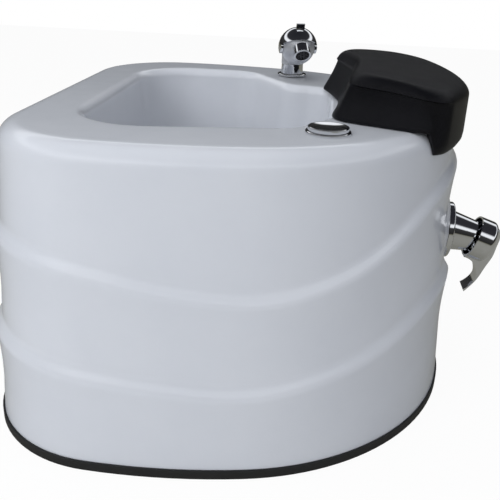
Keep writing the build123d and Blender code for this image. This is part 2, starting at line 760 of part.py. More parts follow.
export_step(spout_lever.part, "parts/spout_lever.step")
with BuildPart() as spout_pins:
    add(rod(pin_plane, band_pin_radius, head_radius - pin_depth, band_outer))
    add(rod(pin_plane, band_pin_radius, -band_outer, pin_depth - head_radius))
spout_pins.part.label = "spout_pins"
export_step(spout_pins.part, "parts/spout_pins.step")

# Mixer gasket and escutcheon against the seat on the technician end.
mixer_front = gasket_thickness + mixer_flange_thickness
mixer_gasket = ring(mixer_plane, mixer_flange_radius - 1, mixer_shank_radius + hole_gap, 0,
                    gasket_thickness)
mixer_gasket.label = "mixer_gasket"
export_step(mixer_gasket, "parts/mixer_gasket.step")
mixer_line = Axis(mixer_origin, mixer_axis)
escutcheon_edge_radius = 2
with BuildPart() as mixer_escutcheon:
    add(rod(mixer_plane, mixer_flange_radius, gasket_thickness, mixer_front))
    fillet(mixer_escutcheon.faces().sort_by(mixer_line)[-1].edges(), escutcheon_edge_radius)
    add(rod(mixer_plane, mixer_shank_radius + fit_gap, gasket_thickness, mixer_front),
        mode=Mode.SUBTRACT)
mixer_escutcheon.part.label = "mixer_escutcheon"
export_step(mixer_escutcheon.part, "parts/mixer_escutcheon.step")

# Mixer body: bent barrel from the flange to the inclined cartridge seat, with a threaded shank.
with BuildPart() as mixer_body:
    with BuildSketch(mixer_plane.offset(mixer_front)):
        Circle(mixer_root_radius)
    with BuildSketch(cartridge_plane):
        Circle(mixer_end_radius)
    loft()
    add(rod(mixer_plane, mixer_shank_radius, -mixer_shank_length, mixer_front + 1))
    add(rod(cartridge_plane, cartridge_radius + fit_gap, -cartridge_depth, 1), mode=Mode.SUBTRACT)
mixer_body.part.label = "mixer_body"
export_step(mixer_body.part, "parts/mixer_body.step")

# Mixer washer and backnut behind the seat.
washer_back = -mixer_seat_backing - washer_thickness
mixer_washer = ring(mixer_plane, mixer_shank_radius + nut_overhang, mixer_shank_radius + fit_gap,
                    washer_back, -mixer_seat_backing)
mixer_washer.label = "mixer_washer"
export_step(mixer_washer, "parts/mixer_washer.step")
mixer_backnut = hex_nut(mixer_plane, mixer_shank_radius + nut_overhang,
                        mixer_shank_radius + fit_gap, washer_back - nut_thickness, washer_back)
mixer_backnut.label = "mixer_backnut"
export_step(mixer_backnut, "parts/mixer_backnut.step")

# Water tails at the back of the mixer: hot and cold in at the sides, mixed water out on top.
tail_circle = mixer_shank_radius - tail_piece_radius - washer_thickness
tail_start = -mixer_shank_length
tail_end = tail_start - tail_piece_length
tail_bore = tail_piece_radius - washer_thickness


def water_tail(angle):
    """Hose tail on the shank's back face, at an angle round the mixer's axis."""
    across = tail_circle * cos(radians(angle))
    up = tail_circle * sin(radians(angle))
    plane = Plane(mixer_plane.from_local_coords((across, up, 0)), z_dir=mixer_plane.z_dir)
    return ring(plane, tail_piece_radius, tail_bore, tail_end, tail_start)


with BuildPart() as mixer_inlets:
    add(water_tail(-30))
    add(water_tail(210))
mixer_inlets.part.label = "mixer_inlets"
export_step(mixer_inlets.part, "parts/mixer_inlets.step")
mixer_outlet = water_tail(90)
mixer_outlet.label = "mixer_outlet"
export_step(mixer_outlet, "parts/mixer_outlet.step")

# Cartridge in the body, held by its ring.
retainer_thickness = 5
retainer_bore = 9
cartridge_top = -retainer_thickness
with BuildPart() as mixer_cartridge:
    add(rod(cartridge_plane, cartridge_radius, -cartridge_depth, cartridge_top))
    add(rod(cartridge_plane, stem_radius + fit_gap, cartridge_top - stem_rise, cartridge_top),
        mode=Mode.SUBTRACT)
mixer_cartridge.part.label = "mixer_cartridge"
export_step(mixer_cartridge.part, "parts/mixer_cartridge.step")
cartridge_ring = ring(cartridge_plane, cartridge_radius, retainer_bore, cartridge_top, 0)
cartridge_ring.label = "cartridge_ring"
export_step(cartridge_ring, "parts/cartridge_ring.step")

# Mixer stem: turns in the cartridge and carries the lever on a cross pin.
pivot_height = 6
pivot_plane = Plane(cartridge_plane.from_local_coords((0, 0, pivot_height)), z_dir=(0, 1, 0))
with BuildPart() as mixer_stem:
    add(rod(cartridge_plane, stem_radius, cartridge_top - stem_rise, stem_rise))
    add(rod(pivot_plane, lever_pin_radius + fit_gap, -stem_radius, stem_radius), mode=Mode.SUBTRACT)
mixer_stem.part.label = "mixer_stem"
export_step(mixer_stem.part, "parts/mixer_stem.step")

# Mixer lever: hollow cap over the body's end, its blade hooking down and back towards the tub,
# with two cheeks inside that hold the cross pin.
rim_start = seam_gap * 2
cavity_end = lever_cap_length - lever_cap_wall - 1
cheek_gap = stem_radius + seam_gap
cheek_thickness = 4
cheek_width = 10
cheek_start = 2.5
cap_edge_radius = 6
blade_outer = [(31.9, 14.3), (33.4, 9.3), (31.3, -6.7), (28.2, -21.7), (21.2, -37.7), (13.1, -56.7),
               (5.8, -67.7), (-1.6, -76.7)]
blade_inner = [(-3.2, -73.7), (7.5, -63.7), (11.3, -54.7), (10.3, -46.7), (6.7, -36.7),
               (-1.6, -28.7), (-8.7, -26.2)]
blade_plane = Plane(cartridge_origin, x_dir=(1, 0, 0), z_dir=(0, -1, 0))
with BuildPart() as mixer_lever:
    add(rod(cartridge_plane, lever_cap_radius, rim_start, lever_cap_length))
    cap_face = mixer_lever.faces().sort_by(Axis(cartridge_origin, cartridge_axis))[-1]
    fillet(cap_face.edges(), cap_edge_radius)
    with BuildSketch(blade_plane):
        with BuildLine():
            outer_curve = Spline(*blade_outer)
            tip_line = Line(outer_curve @ 1, blade_inner[0])
            inner_curve = Spline(*blade_inner)
            Line(inner_curve @ 1, outer_curve @ 0)
        make_face()
    extrude(amount=lever_blade_half_width, both=True)
    add(rod(cartridge_plane, lever_cap_radius - lever_cap_wall, -lever_cap_length, cavity_end),
        mode=Mode.SUBTRACT)
    with BuildSketch(cartridge_plane.offset(cheek_start)):
        with GridLocations(2 * cheek_gap + cheek_thickness, 0, 2, 1):
            Rectangle(cheek_thickness, cheek_width)
    extrude(amount=cavity_end - cheek_start)
    add(rod(pivot_plane, lever_pin_radius, -cheek_gap - cheek_thickness, cheek_gap + cheek_thickness),
        mode=Mode.SUBTRACT)
mixer_lever.part.label = "mixer_lever"
export_step(mixer_lever.part, "parts/mixer_lever.step")
lever_pin = rod(pivot_plane, lever_pin_radius, -cheek_gap - cheek_thickness,
                cheek_gap + cheek_thickness)
lever_pin.label = "lever_pin"
export_step(lever_pin, "parts/lever_pin.step")

# Supply hose: from the mixer's outlet round the basin to the spout's shank, with its end nuts.
hose_start = Vector(mixer_plane.from_local_coords((0, tail_circle, tail_end)))
hose_end = Vector(spout_x, spout_y, deck_top - shank_length)
hose_points = [
    hose_start,
    hose_start - Vector(*mixer_axis) * 45,
    hose_start + Vector(-68, 62, -12),
    hose_start + Vector(-104, 122, -18),
    hose_end + Vector(20, -22, -95),
    hose_end + Vector(0, 0, -58),
    hose_end,
]
supply_hose = swept_tube(hose_points, hose_radius)
supply_hose.label = "supply_hose"
export_step(supply_hose, "parts/supply_hose.step")
outlet_plane = Plane(hose_start, z_dir=mixer_axis)
nut_grip = 8
hose_nut_wall = 5
with BuildPart() as hose_nuts:
    add(hex_nut(spout_plane, shank_radius + hose_nut_wall, shank_radius + fit_gap, -shank_length,
                nut_grip - shank_length))
    add(hex_nut(outlet_plane, tail_piece_radius + hose_nut_wall, tail_piece_radius + fit_gap, 0, nut_grip))
hose_nuts.part.label = "hose_nuts"
export_step(hose_nuts.part, "parts/hose_nuts.step")
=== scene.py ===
from math import acos, atan, atan2, cos, pi, radians, sin, sqrt, tan

import bpy
import numpy as np
from mathutils import Matrix, Vector


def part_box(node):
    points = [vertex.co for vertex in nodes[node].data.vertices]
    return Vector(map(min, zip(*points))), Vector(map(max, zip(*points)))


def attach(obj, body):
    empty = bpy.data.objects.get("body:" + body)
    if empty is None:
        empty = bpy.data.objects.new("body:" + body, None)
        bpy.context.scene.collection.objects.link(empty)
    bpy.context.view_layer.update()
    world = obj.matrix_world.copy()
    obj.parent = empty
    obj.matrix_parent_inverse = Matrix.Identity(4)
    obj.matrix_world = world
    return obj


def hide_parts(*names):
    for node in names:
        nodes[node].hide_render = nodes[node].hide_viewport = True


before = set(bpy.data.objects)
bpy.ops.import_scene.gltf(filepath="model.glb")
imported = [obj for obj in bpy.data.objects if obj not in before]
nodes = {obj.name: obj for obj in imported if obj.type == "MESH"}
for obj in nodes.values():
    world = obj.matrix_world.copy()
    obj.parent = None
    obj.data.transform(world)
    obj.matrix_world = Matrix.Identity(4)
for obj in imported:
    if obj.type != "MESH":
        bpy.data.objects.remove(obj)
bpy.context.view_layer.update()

# Camera: at the near side, a little towards the technician's end, looking down into the bowl.
# It stands about a metre off and is rolled a little.
camera_heading = radians(-5.69)
camera_dip = radians(23.02)
camera_roll = radians(2.30)
forward = Vector((sin(camera_heading) * cos(camera_dip), cos(camera_heading) * cos(camera_dip),
                  -sin(camera_dip)))
level_right = Vector((cos(camera_heading), -sin(camera_heading), 0))
level_up = level_right.cross(forward)
camera_right = cos(camera_roll) * level_right + sin(camera_roll) * level_up
camera_up = cos(camera_roll) * level_up - sin(camera_roll) * level_right
bpy.ops.object.camera_add(location=(0.09738, -0.90036, 0.5310))
camera = bpy.context.object
camera.name = "camera"
camera.data.sensor_width = 36
camera.data.lens = 50.4
turn = Matrix((camera_right, camera_up, -forward)).transposed()
camera.rotation_euler = turn.to_euler()
bpy.context.scene.camera = camera


# Studio: a pale floor and surround, which look white, and three softboxes: overhead, near left and
# near right. Polished metal mirrors none of them, but a dark surround with one white strip.
class Wire:
    """A socket in a finish's nodes. Sums written with it add Math nodes."""

    def __init__(self, tree, socket=None):
        self.tree = tree
        self.socket = socket

    def node(self, kind, settings=None, inputs=None, output=0):
        """Adds a node, sets it up, fills or links its sockets, and gives one of its outputs."""
        made = self.tree.nodes.new(kind)
        for name, value in (settings or {}).items():
            if name == "stops":
                while len(made.color_ramp.elements) < len(value):
                    made.color_ramp.elements.new(0.5)
                for element, (place, colour) in zip(made.color_ramp.elements, value):
                    element.position = place
                    element.color = (*colour, 1)
            else:
                setattr(made, name, value)
        for name, value in (inputs or {}).items():
            if isinstance(value, Wire):
                self.tree.links.new(value.socket, made.inputs[name])
            else:
                made.inputs[name].default_value = value
        return Wire(self.tree, made.outputs[output] if len(made.outputs) else None)

    def math(self, operation, first, second=0.0):
        return self.node("ShaderNodeMath", {"operation": operation}, {0: first, 1: second})

    def __add__(self, other):
        return self.math("ADD", self, other)

    def __radd__(self, other):
        return self.math("ADD", other, self)

    def __sub__(self, other):
        return self.math("SUBTRACT", self, other)

    def __rsub__(self, other):
        return self.math("SUBTRACT", other, self)

    def __mul__(self, other):
        return self.math("MULTIPLY", self, other)

    def __rmul__(self, other):
        return self.math("MULTIPLY", other, self)


def new_finish(name):
    """A new finish, the wire its nodes are added with, and Object coordinates to read."""
    finish = bpy.data.materials.new(name)
    finish.use_nodes = True
    finish.node_tree.nodes.clear()
    wire = Wire(finish.node_tree)
    return finish, wire, wire.node("ShaderNodeTexCoord", output="Object")


def close_finish(wire, **sockets):
    """Adds the surface shader, with its sockets by name, and the finish's output."""
    inputs = {name.replace("_", " "): value for name, value in sockets.items()}
    surface = wire.node("ShaderNodeBsdfPrincipled", {}, inputs)
    wire.node("ShaderNodeOutputMaterial", {}, {"Surface": surface})


def scaled(wire, points, scale):
    """Points scaled along each axis; less than 1 draws a pattern out."""
    return wire.node("ShaderNodeMapping", {}, {"Vector": points, "Scale": scale})


def noise(wire, points, scale, detail=2.0, roughness=0.5):
    """Cloudy pattern from 0 to 1, its lumps about 1/scale metres across."""
    return wire.node("ShaderNodeTexNoise", {}, {"Vector": points, "Scale": scale, "Detail": detail,
                                                "Roughness": roughness})


def mixed(wire, share, first, second):
    """Colour between two colours."""
    return wire.node("ShaderNodeMix", {"data_type": "RGBA"}, {"Factor": share, 6: (*first, 1),
                                                              7: (*second, 1)}, 2)


def relief(wire, height, depth, strength=1.0):
    """Surface relief of a depth in metres."""
    return wire.node("ShaderNodeBump", {}, {"Height": height, "Distance": depth,
                                            "Strength": strength})


def paint(piece, finish):
    """Gives a piece one finish all over."""
    piece.data.materials.clear()
    piece.data.materials.append(finish)


def paint_nodes(finish, *names):
    """Gives one finish to the CAD nodes of these names."""
    for name in names:
        paint(nodes[name], finish)


bpy.context.scene.view_settings.view_transform = "Standard"
world = bpy.data.worlds.new("surround")
bpy.context.scene.world = world
world.use_nodes = True
world.node_tree.nodes.clear()
sky = Wire(world.node_tree)
directions = sky.node("ShaderNodeTexCoord", output="Generated")
height = sky.node("ShaderNodeSeparateXYZ", {}, {0: directions}, "Z")
sky_bands = sky.node("ShaderNodeValToRGB", {"stops": [
    (0.0, (0.16, 0.155, 0.12)), (0.49, (0.16, 0.155, 0.12)), (0.51, (0.02, 0.02, 0.02)),
    (0.70, (0.04, 0.04, 0.04)), (0.73, (0.95, 0.97, 1.0)), (0.79, (0.95, 0.97, 1.0)),
    (0.83, (0.03, 0.03, 0.035)), (1.0, (0.02, 0.02, 0.025))]}, {0: height * 0.5 + 0.5})
light_path = "ShaderNodeLightPath"
sky_mirrored = sky.node("ShaderNodeBackground", {}, {"Color": sky_bands, "Strength": 1.0})
sky_diffuse = sky.node("ShaderNodeBackground", {}, {"Color": (0.34, 0.35, 0.37, 1)})
sky_seen = sky.node("ShaderNodeBackground", {}, {"Color": (1, 1, 1, 1), "Strength": 1.0})
sky_lighting = sky.node("ShaderNodeMixShader", {}, {
    0: sky.node(light_path, output="Is Glossy Ray"), 1: sky_diffuse, 2: sky_mirrored})
sky_all = sky.node("ShaderNodeMixShader", {}, {
    0: sky.node(light_path, output="Is Camera Ray"), 1: sky_lighting, 2: sky_seen})
sky.node("ShaderNodeOutputWorld", {}, {"Surface": sky_all})


def softbox(name, place, aim, size, power):
    """A square softbox that faces a point."""
    bpy.ops.object.light_add(type="AREA", location=place)
    light = bpy.context.object
    light.name = name
    light.data.size = size
    light.data.energy = power
    light.data.color = (0.965, 0.98, 1.0)
    light.visible_glossy = False
    light.rotation_euler = (Vector(aim) - Vector(place)).to_track_quat("-Z", "Y").to_euler()


softbox("softbox_top", (-0.3, -0.1, 1.8), (0, 0, 0.2), 1.5, 10.5)
softbox("softbox_near_left", (-1.0, -1.75, 1.3), (0, 0, 0.2), 1.3, 21)
softbox("softbox_near_right", (0.9, -1.9, 0.8), (0, 0, 0.2), 0.8, 2)

# The floor is paper to the light, white to the camera and dim olive where metal mirrors it
floor_side = 8
floor_whiteness = 0.95
floor_dimming = 0.8
bpy.ops.object.select_all(action="DESELECT")
bpy.ops.mesh.primitive_plane_add(size=floor_side, location=(0, 0, 0))
floor = bpy.context.object
floor.name = "studio_floor"
floor_finish, wire, points = new_finish("studio_paper")
paper_grain = noise(wire, points, 160, 3)
paper = wire.node("ShaderNodeBsdfDiffuse", {}, {
    "Color": mixed(wire, paper_grain, (0.90, 0.90, 0.90), (0.93, 0.93, 0.93))})
glow = wire.node("ShaderNodeEmission", {}, {"Color": (1, 1, 1, 1), "Strength": 1.0})
dim_floor = wire.node("ShaderNodeEmission", {}, {"Color": (0.17, 0.165, 0.13, 1)})
dimmed = wire.node(light_path, output="Is Glossy Ray") * floor_dimming
mirrored = wire.node("ShaderNodeMixShader", {}, {0: dimmed, 1: paper, 2: dim_floor})
washed_out = wire.node(light_path, output="Is Camera Ray") * floor_whiteness
washed_paper = wire.node("ShaderNodeMixShader", {}, {0: washed_out, 1: mirrored, 2: glow})
wire.node("ShaderNodeOutputMaterial", {}, {"Surface": washed_paper})
paint(floor, floor_finish)

# Tub shell: one glass-fibre moulding under white gelcoat. Its tapered skirt has two laps that make
# three bands, and it turns over a soft rim and a flat deck to a rolled lip round the bowl. It is
# bonded to the base board at its foot.
tub_end_radius = 0.300
tub_side_radius = 0.699
tub_corner_radius = 0.151
rim_taper = 0.0245
rim_round = 0.023
lip_round = 0.012
laminate = 0.005
lip_depth = 0.016
seat_radius = 0.042
seat_blend = 0.012
seat_reach = 0.02
mixer_height = 0.200
mixer_tilt = radians(3)
band_step = 0.0070
band_lap = 0.075
band_turn = 0.017
band_curve = 1.8
lap_smoothing = 9
shell_low, shell_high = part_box("outer_shell")
skirt_half_length = shell_high.x
skirt_half_width = shell_high.y
foot_height = shell_low.z
rim_height = shell_high.z
bowl_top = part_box("basin")[1].z
taper_slope = rim_taper / rim_height
around = 256
arc_steps = 400
corner_steps = 120
run_steps = 20
ring_spacing = 0.0032
turn_rings = 12
deck_rings = 12
lining_rings = 8
lining_drop = 0.03
side_centre_y = skirt_half_width - tub_side_radius
end_centre_x = skirt_half_length - tub_end_radius
side_centre_x = end_centre_x - sqrt((tub_side_radius - tub_end_radius) ** 2 - side_centre_y**2)
corner_centre_x = tub_corner_radius - skirt_half_length
corner_centre_y = side_centre_y + sqrt((tub_side_radius - tub_corner_radius) ** 2
                                       - (corner_centre_x - side_centre_x) ** 2)


def arc_points(centre, radius, start, end):
    """Points and outward directions along an arc, angles in radians."""
    turns = np.linspace(start, end, arc_steps, endpoint=False)
    outward = np.stack([np.cos(turns), np.sin(turns)], 1)
    return np.array(centre) + radius * outward, outward


def skirt_loop():
    """The skirt's outline at the floor and its outward directions, from the flat end's middle."""
    end_turn = atan2(-side_centre_y, end_centre_x - side_centre_x)
    corner_turn = atan2(corner_centre_y - side_centre_y, corner_centre_x - side_centre_x)
    flat_y = np.linspace(0, corner_centre_y, arc_steps, endpoint=False)
    flat = np.stack([np.full(arc_steps, -skirt_half_length), flat_y], 1)
    flat_outward = np.tile([-1.0, 0.0], (arc_steps, 1))
    parts = [(flat, flat_outward),
             arc_points((corner_centre_x, corner_centre_y), tub_corner_radius, pi, corner_turn),
             arc_points((side_centre_x, side_centre_y), tub_side_radius, corner_turn, end_turn),
             arc_points((end_centre_x, 0), tub_end_radius, end_turn, 0)]
    far = np.concatenate([place for place, outward in parts])
    far_outward = np.concatenate([outward for place, outward in parts])
    mirror = np.array([1.0, -1.0])
    tip = np.array([[skirt_half_length, 0.0]])
    loop = np.concatenate([far, tip, far[:0:-1] * mirror])
    outward = np.concatenate([far_outward, [[1.0, 0.0]], far_outward[:0:-1] * mirror])
    return loop, outward


def spaced(loop, outward, count):
    """The same closed loop at evenly spaced places, with its outward directions."""
    closed = np.concatenate([loop, loop[:1]])
    closed_outward = np.concatenate([outward, outward[:1]])
    run = np.concatenate([[0], np.cumsum(np.linalg.norm(np.diff(closed, axis=0), axis=1))])
    places = np.linspace(0, run[-1], count, endpoint=False)
    even = np.stack([np.interp(places, run, closed[:, i]) for i in (0, 1)], 1)
    facing = np.stack([np.interp(places, run, closed_outward[:, i]) for i in (0, 1)], 1)
    return even, facing / np.linalg.norm(facing, axis=1)[:, None]


def rounded_loop(corners, radii):
    """Closed outline through corners that are rounded, finely divided, going anticlockwise."""
    loop = []
    for i, corner in enumerate(corners):
        corner = np.array(corner)
        before = np.array(corners[i - 1]) - corner
        after = np.array(corners[(i + 1) % len(corners)]) - corner
        before = before / np.linalg.norm(before)
        after = after / np.linalg.norm(after)
        half = acos(max(-1.0, min(1.0, float(before @ after)))) / 2
        middle = (before + after) / np.linalg.norm(before + after)
        centre = corner + middle * radii[i] / sin(half)
        start = corner + before * radii[i] / tan(half) - centre
        end = corner + after * radii[i] / tan(half) - centre
        turn_angle = atan2(start[0] * end[1] - start[1] * end[0], start @ end)
        for share in np.linspace(0, 1, corner_steps):
            swing = turn_angle * share
            loop.append(centre + np.array([start[0] * cos(swing) - start[1] * sin(swing),
                                           start[0] * sin(swing) + start[1] * cos(swing)]))
    loop = np.array(loop)
    even = np.linspace(0, len(loop), run_steps * len(loop), endpoint=False)
    closed = np.concatenate([loop, loop[:1]])
    places = np.arange(len(closed))
    return np.stack([np.interp(even, places, closed[:, i]) for i in (0, 1)], 1)


def along_rays(loop, centre, turns):
    """Where rays from a centre, at given angles, cross a closed loop round it."""
    offset = loop - np.array(centre)
    angle = np.unwrap(np.arctan2(offset[:, 1], offset[:, 0]))
    reach = np.linalg.norm(offset, axis=1)
    if angle[-1] < angle[0]:
        angle, reach = angle[::-1], reach[::-1]
    angle = np.concatenate([angle - 2 * pi, angle, angle + 2 * pi])
    reach = np.concatenate([reach, reach, reach])
    found = np.interp(turns, angle, reach)
    return np.array(centre) + np.stack([np.cos(turns), np.sin(turns)], 1) * found[:, None]


def facing_out(loop):
    """Outward directions of an anticlockwise loop of evenly matched points."""
    run = np.roll(loop, -1, axis=0) - np.roll(loop, 1, axis=0)
    run = run / np.linalg.norm(run, axis=1)[:, None]
    return np.stack([run[:, 1], -run[:, 0]], 1)


def closed_strip(name, rings):
    """A torus whose cross-section is drawn out into the given rings of points, in order."""
    bpy.ops.object.select_all(action="DESELECT")
    bpy.ops.mesh.primitive_torus_add(major_segments=around, minor_segments=len(rings))
    piece = bpy.context.object
    piece.name = name
    places = np.stack(rings, 1).reshape(-1, 3)
    piece.data.vertices.foreach_set("co", places.astype(np.float32).ravel())
    piece.data.update()
    bpy.ops.object.mode_set(mode="EDIT")
    bpy.ops.mesh.select_all(action="SELECT")
    bpy.ops.mesh.remove_doubles(threshold=1e-7)
    bpy.ops.mesh.normals_make_consistent(inside=False)
    bpy.ops.object.mode_set(mode="OBJECT")
    bpy.ops.object.shade_smooth_by_angle(angle=radians(40))
    return piece


def at_height(loop, height):
    """A flat loop's points at a height, which may differ from point to point."""
    return np.column_stack([loop, np.broadcast_to(height, len(loop))])


skirt_line, skirt_facing = spaced(*skirt_loop(), around)
if np.cross(skirt_line[0], skirt_line[around // 8]) < 0:
    skirt_line, skirt_facing = skirt_line[::-1], skirt_facing[::-1]

# Heights of the two laps, read along the tub from the flat end to the round end
upper_lap_x = [-0.280, -0.137, -0.065, 0.0, 0.036, 0.072, 0.108, 0.148, 0.169, 0.187, 0.205, 0.223,
               0.250, 0.280]
upper_lap_z = [0.243, 0.229, 0.214, 0.206, 0.202, 0.203, 0.214, 0.223, 0.234, 0.245, 0.259, 0.274,
               0.292, 0.304]
lower_lap_x = [-0.280, -0.155, -0.086, 0.043, 0.094, 0.144, 0.173, 0.198, 0.220, 0.241, 0.280]
lower_lap_z = [0.124, 0.113, 0.106, 0.095, 0.106, 0.115, 0.126, 0.135, 0.146, 0.157, 0.163]


def lap_heights(lap_x, lap_z):
    """A lap's height at each point round the skirt, smoothed."""
    heights = np.interp(skirt_line[:, 0], lap_x, lap_z)
    spread = np.hanning(2 * lap_smoothing + 3)[1:-1]
    spread = spread / spread.sum()
    shifted = [np.roll(heights, i - lap_smoothing) * spread[i] for i in range(len(spread))]
    return np.sum(shifted, axis=0)


def lap_swell(height, lap):
    """How far the skirt stands out at a height, below and just above one lap."""
    below = np.clip((height - lap + band_lap) / band_lap, 0, 1) ** band_curve
    above = 0.5 + 0.5 * np.cos(pi * np.clip((height - lap) / band_turn, 0, 1))
    return band_step * np.where(height < lap, below, above)


upper_lap = lap_heights(upper_lap_x, upper_lap_z)
lower_lap = lap_heights(lower_lap_x, lower_lap_z)
wall_tilt = atan(taper_slope)
rim_centre = taper_slope * (rim_height - rim_round) + rim_round / cos(wall_tilt)
bowl_draft = radians(4.5)
lip_centre = lip_round / cos(bowl_draft) - lip_round * tan(bowl_draft)

# The bowl's mouth: a wide ledge for the footrest, one for the spout and a small one for the waste
open_left, open_right = -0.178, 0.104
open_near, open_far = -0.2015, 0.2015
waste_ledge_left, waste_ledge_in, waste_ledge_turn = 0.040, 0.020, 0.088
spout_ledge_side, spout_ledge_in, spout_ledge_left = 0.092, 0.090, 0.066
spout_low, spout_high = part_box("spout_flange")
spout_place = (spout_low + spout_high) / 2
knob_low, knob_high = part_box("control_escutcheon")
knob_place = (knob_low + knob_high) / 2
mouth_corners = [
    (open_left, open_near), (knob_place.x - waste_ledge_left, knob_place.y + waste_ledge_in),
    (open_right, knob_place.y + waste_ledge_turn), (open_right, spout_place.y - spout_ledge_side),
    (spout_place.x, spout_place.y - spout_ledge_in), (spout_place.x - spout_ledge_left, open_far),
    (open_left, open_far)]
mouth_radii = [0.075, 0.040, 0.045, 0.042, 0.035, 0.045, 0.075]
drain_low, drain_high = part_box("drain_flange")
drain_place = (drain_low + drain_high) / 2
deck_loop = skirt_line - skirt_facing * rim_centre
ray_turns = np.arctan2(deck_loop[:, 1], deck_loop[:, 0] - drain_place.x)
mouth_loop = along_rays(rounded_loop(mouth_corners, mouth_radii), (drain_place.x, 0), ray_turns)
mouth_facing = facing_out(mouth_loop)

mixer_axis = np.array([cos(mixer_tilt), 0.0, -sin(mixer_tilt)])
mixer_foot = np.array([skirt_half_length - taper_slope * mixer_height, 0.0, mixer_height])


def seated(ring):
    """Presses a ring of skirt points flat where the mixer's flange sits."""
    offset = ring - mixer_foot
    proud = offset @ mixer_axis
    across = np.linalg.norm(offset - np.outer(proud, mixer_axis), axis=1)
    share = np.clip((across - seat_radius) / seat_blend, 0, 1)
    hold = np.where(proud > -seat_reach, 1 - share * share * (3 - 2 * share), 0)
    return ring - np.outer(proud * hold, mixer_axis)


rings = []
for level in np.arange(foot_height, rim_height - rim_round, ring_spacing):
    swell = np.maximum(lap_swell(level, lower_lap), lap_swell(level, upper_lap))
    inset = taper_slope * level - swell
    rings.append(seated(at_height(skirt_line - skirt_facing * inset[:, None], level)))
for bend in np.linspace(wall_tilt, pi / 2, turn_rings):
    inset = rim_centre - rim_round * cos(bend)
    level = rim_height - rim_round + rim_round * sin(bend)
    rings.append(at_height(skirt_line - skirt_facing * inset, level))
lip_edge = mouth_loop + mouth_facing * lip_centre
for share in np.linspace(0, 1, deck_rings)[1:-1]:
    rings.append(at_height(deck_loop + (lip_edge - deck_loop) * share, rim_height))
for bend in np.linspace(pi / 2, bowl_draft, turn_rings):
    reach = lip_centre - lip_round * cos(bend)
    level = rim_height - lip_round + lip_round * sin(bend)
    rings.append(at_height(mouth_loop + mouth_facing * reach, level))
lip_foot = mouth_loop - mouth_facing * tan(bowl_draft) * (rim_height - bowl_top)
lip_back = mouth_loop + mouth_facing * lip_depth
rings.append(at_height(lip_foot, bowl_top))
rings.append(at_height(lip_back, bowl_top))
rings.append(at_height(lip_back, rim_height - laminate))
rings.append(at_height(deck_loop, rim_height - laminate))
for bend in (60, 30, 0):
    inset = rim_centre - (rim_round - laminate) * cos(radians(bend))
    level = rim_height - rim_round + (rim_round - laminate) * sin(radians(bend))
    rings.append(at_height(skirt_line - skirt_facing * inset, level))
for level in np.linspace(rim_height - rim_round - lining_drop, foot_height, lining_rings):
    inset = taper_slope * level + laminate
    rings.append(at_height(skirt_line - skirt_facing * inset, level))
tub_shell = closed_strip("tub_shell", rings)

gelcoat, wire, points = new_finish("white_gelcoat")
peel = noise(wire, points, 420, 2)
mould_waves = noise(wire, points, 9, 1)
wiped_film = noise(wire, points, 34, 4, 0.6)
close_finish(
    wire, Base_Color=mixed(wire, mould_waves * 0.6 + wiped_film * 0.4, (0.62, 0.642, 0.69),
                           (0.69, 0.707, 0.745)),
    Roughness=wiped_film * 0.10 + 0.13, IOR=1.5, Coat_Weight=0.25, Coat_Roughness=0.06,
    Normal=relief(wire, peel * 0.25 + mould_waves, 0.0007, 0.35))
paint(tub_shell, gelcoat)
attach(tub_shell, "tub")
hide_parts("outer_shell")

# Bowl: the same laminate, moulded on its own and bonded under the shell's lip by a flange.
# Steep sides, a soft turn into the floor and a hole for the waste.
bowl_round = 0.020
flange_width = 0.018
bowl_side_rings = 34
bowl_turn_rings = 11
bowl_floor_rings = 14
bowl_low, bowl_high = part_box("basin")
bowl_wall = 0.005
bowl_floor = bowl_low.z + bowl_wall
waste_hole = 0.0245
drain_ring = np.stack([np.cos(ray_turns), np.sin(ray_turns)], 1) * waste_hole
drain_ring = drain_ring + np.array([drain_place.x, 0.0])


def bowl_rings(grow, floor, turn_radius, top):
    """Rings down the bowl's wall from a height, round into the floor and in to the waste hole."""
    made = []
    side = pi / 2 - bowl_draft
    turn_in = turn_radius * tan(side / 2)
    turn_top = floor + turn_in * cos(bowl_draft)
    for level in np.linspace(top, turn_top, bowl_side_rings)[:-1]:
        inset = tan(bowl_draft) * (rim_height - level) - grow
        made.append(at_height(mouth_loop - mouth_facing * inset, level))
    centre_inset = tan(bowl_draft) * (rim_height - turn_top) - grow + turn_radius * cos(bowl_draft)
    for bend in np.linspace(bowl_draft, pi / 2, bowl_turn_rings):
        inset = centre_inset - turn_radius * cos(bend)
        level = floor + turn_radius - turn_radius * sin(bend)
        made.append(at_height(mouth_loop - mouth_facing * inset, level))
    floor_edge = mouth_loop - mouth_facing * centre_inset
    for share in np.linspace(0, 1, bowl_floor_rings)[1:]:
        made.append(at_height(floor_edge + (drain_ring - floor_edge) * share, floor))
    return made


inner = bowl_rings(0, bowl_floor, bowl_round, bowl_high.z)
outer = bowl_rings(bowl_wall, bowl_low.z, bowl_round + bowl_wall, bowl_high.z - bowl_wall)
flange_edge = mouth_loop + mouth_facing * flange_width
flange_edge[:, 0] = np.maximum(flange_edge[:, 0], bowl_low.x)
flange = [at_height(flange_edge, bowl_high.z - bowl_wall), at_height(flange_edge, bowl_high.z)]
tub_bowl = closed_strip("tub_bowl", inner + outer[::-1] + flange)
paint(tub_bowl, gelcoat)
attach(tub_bowl, "tub")
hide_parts("basin")

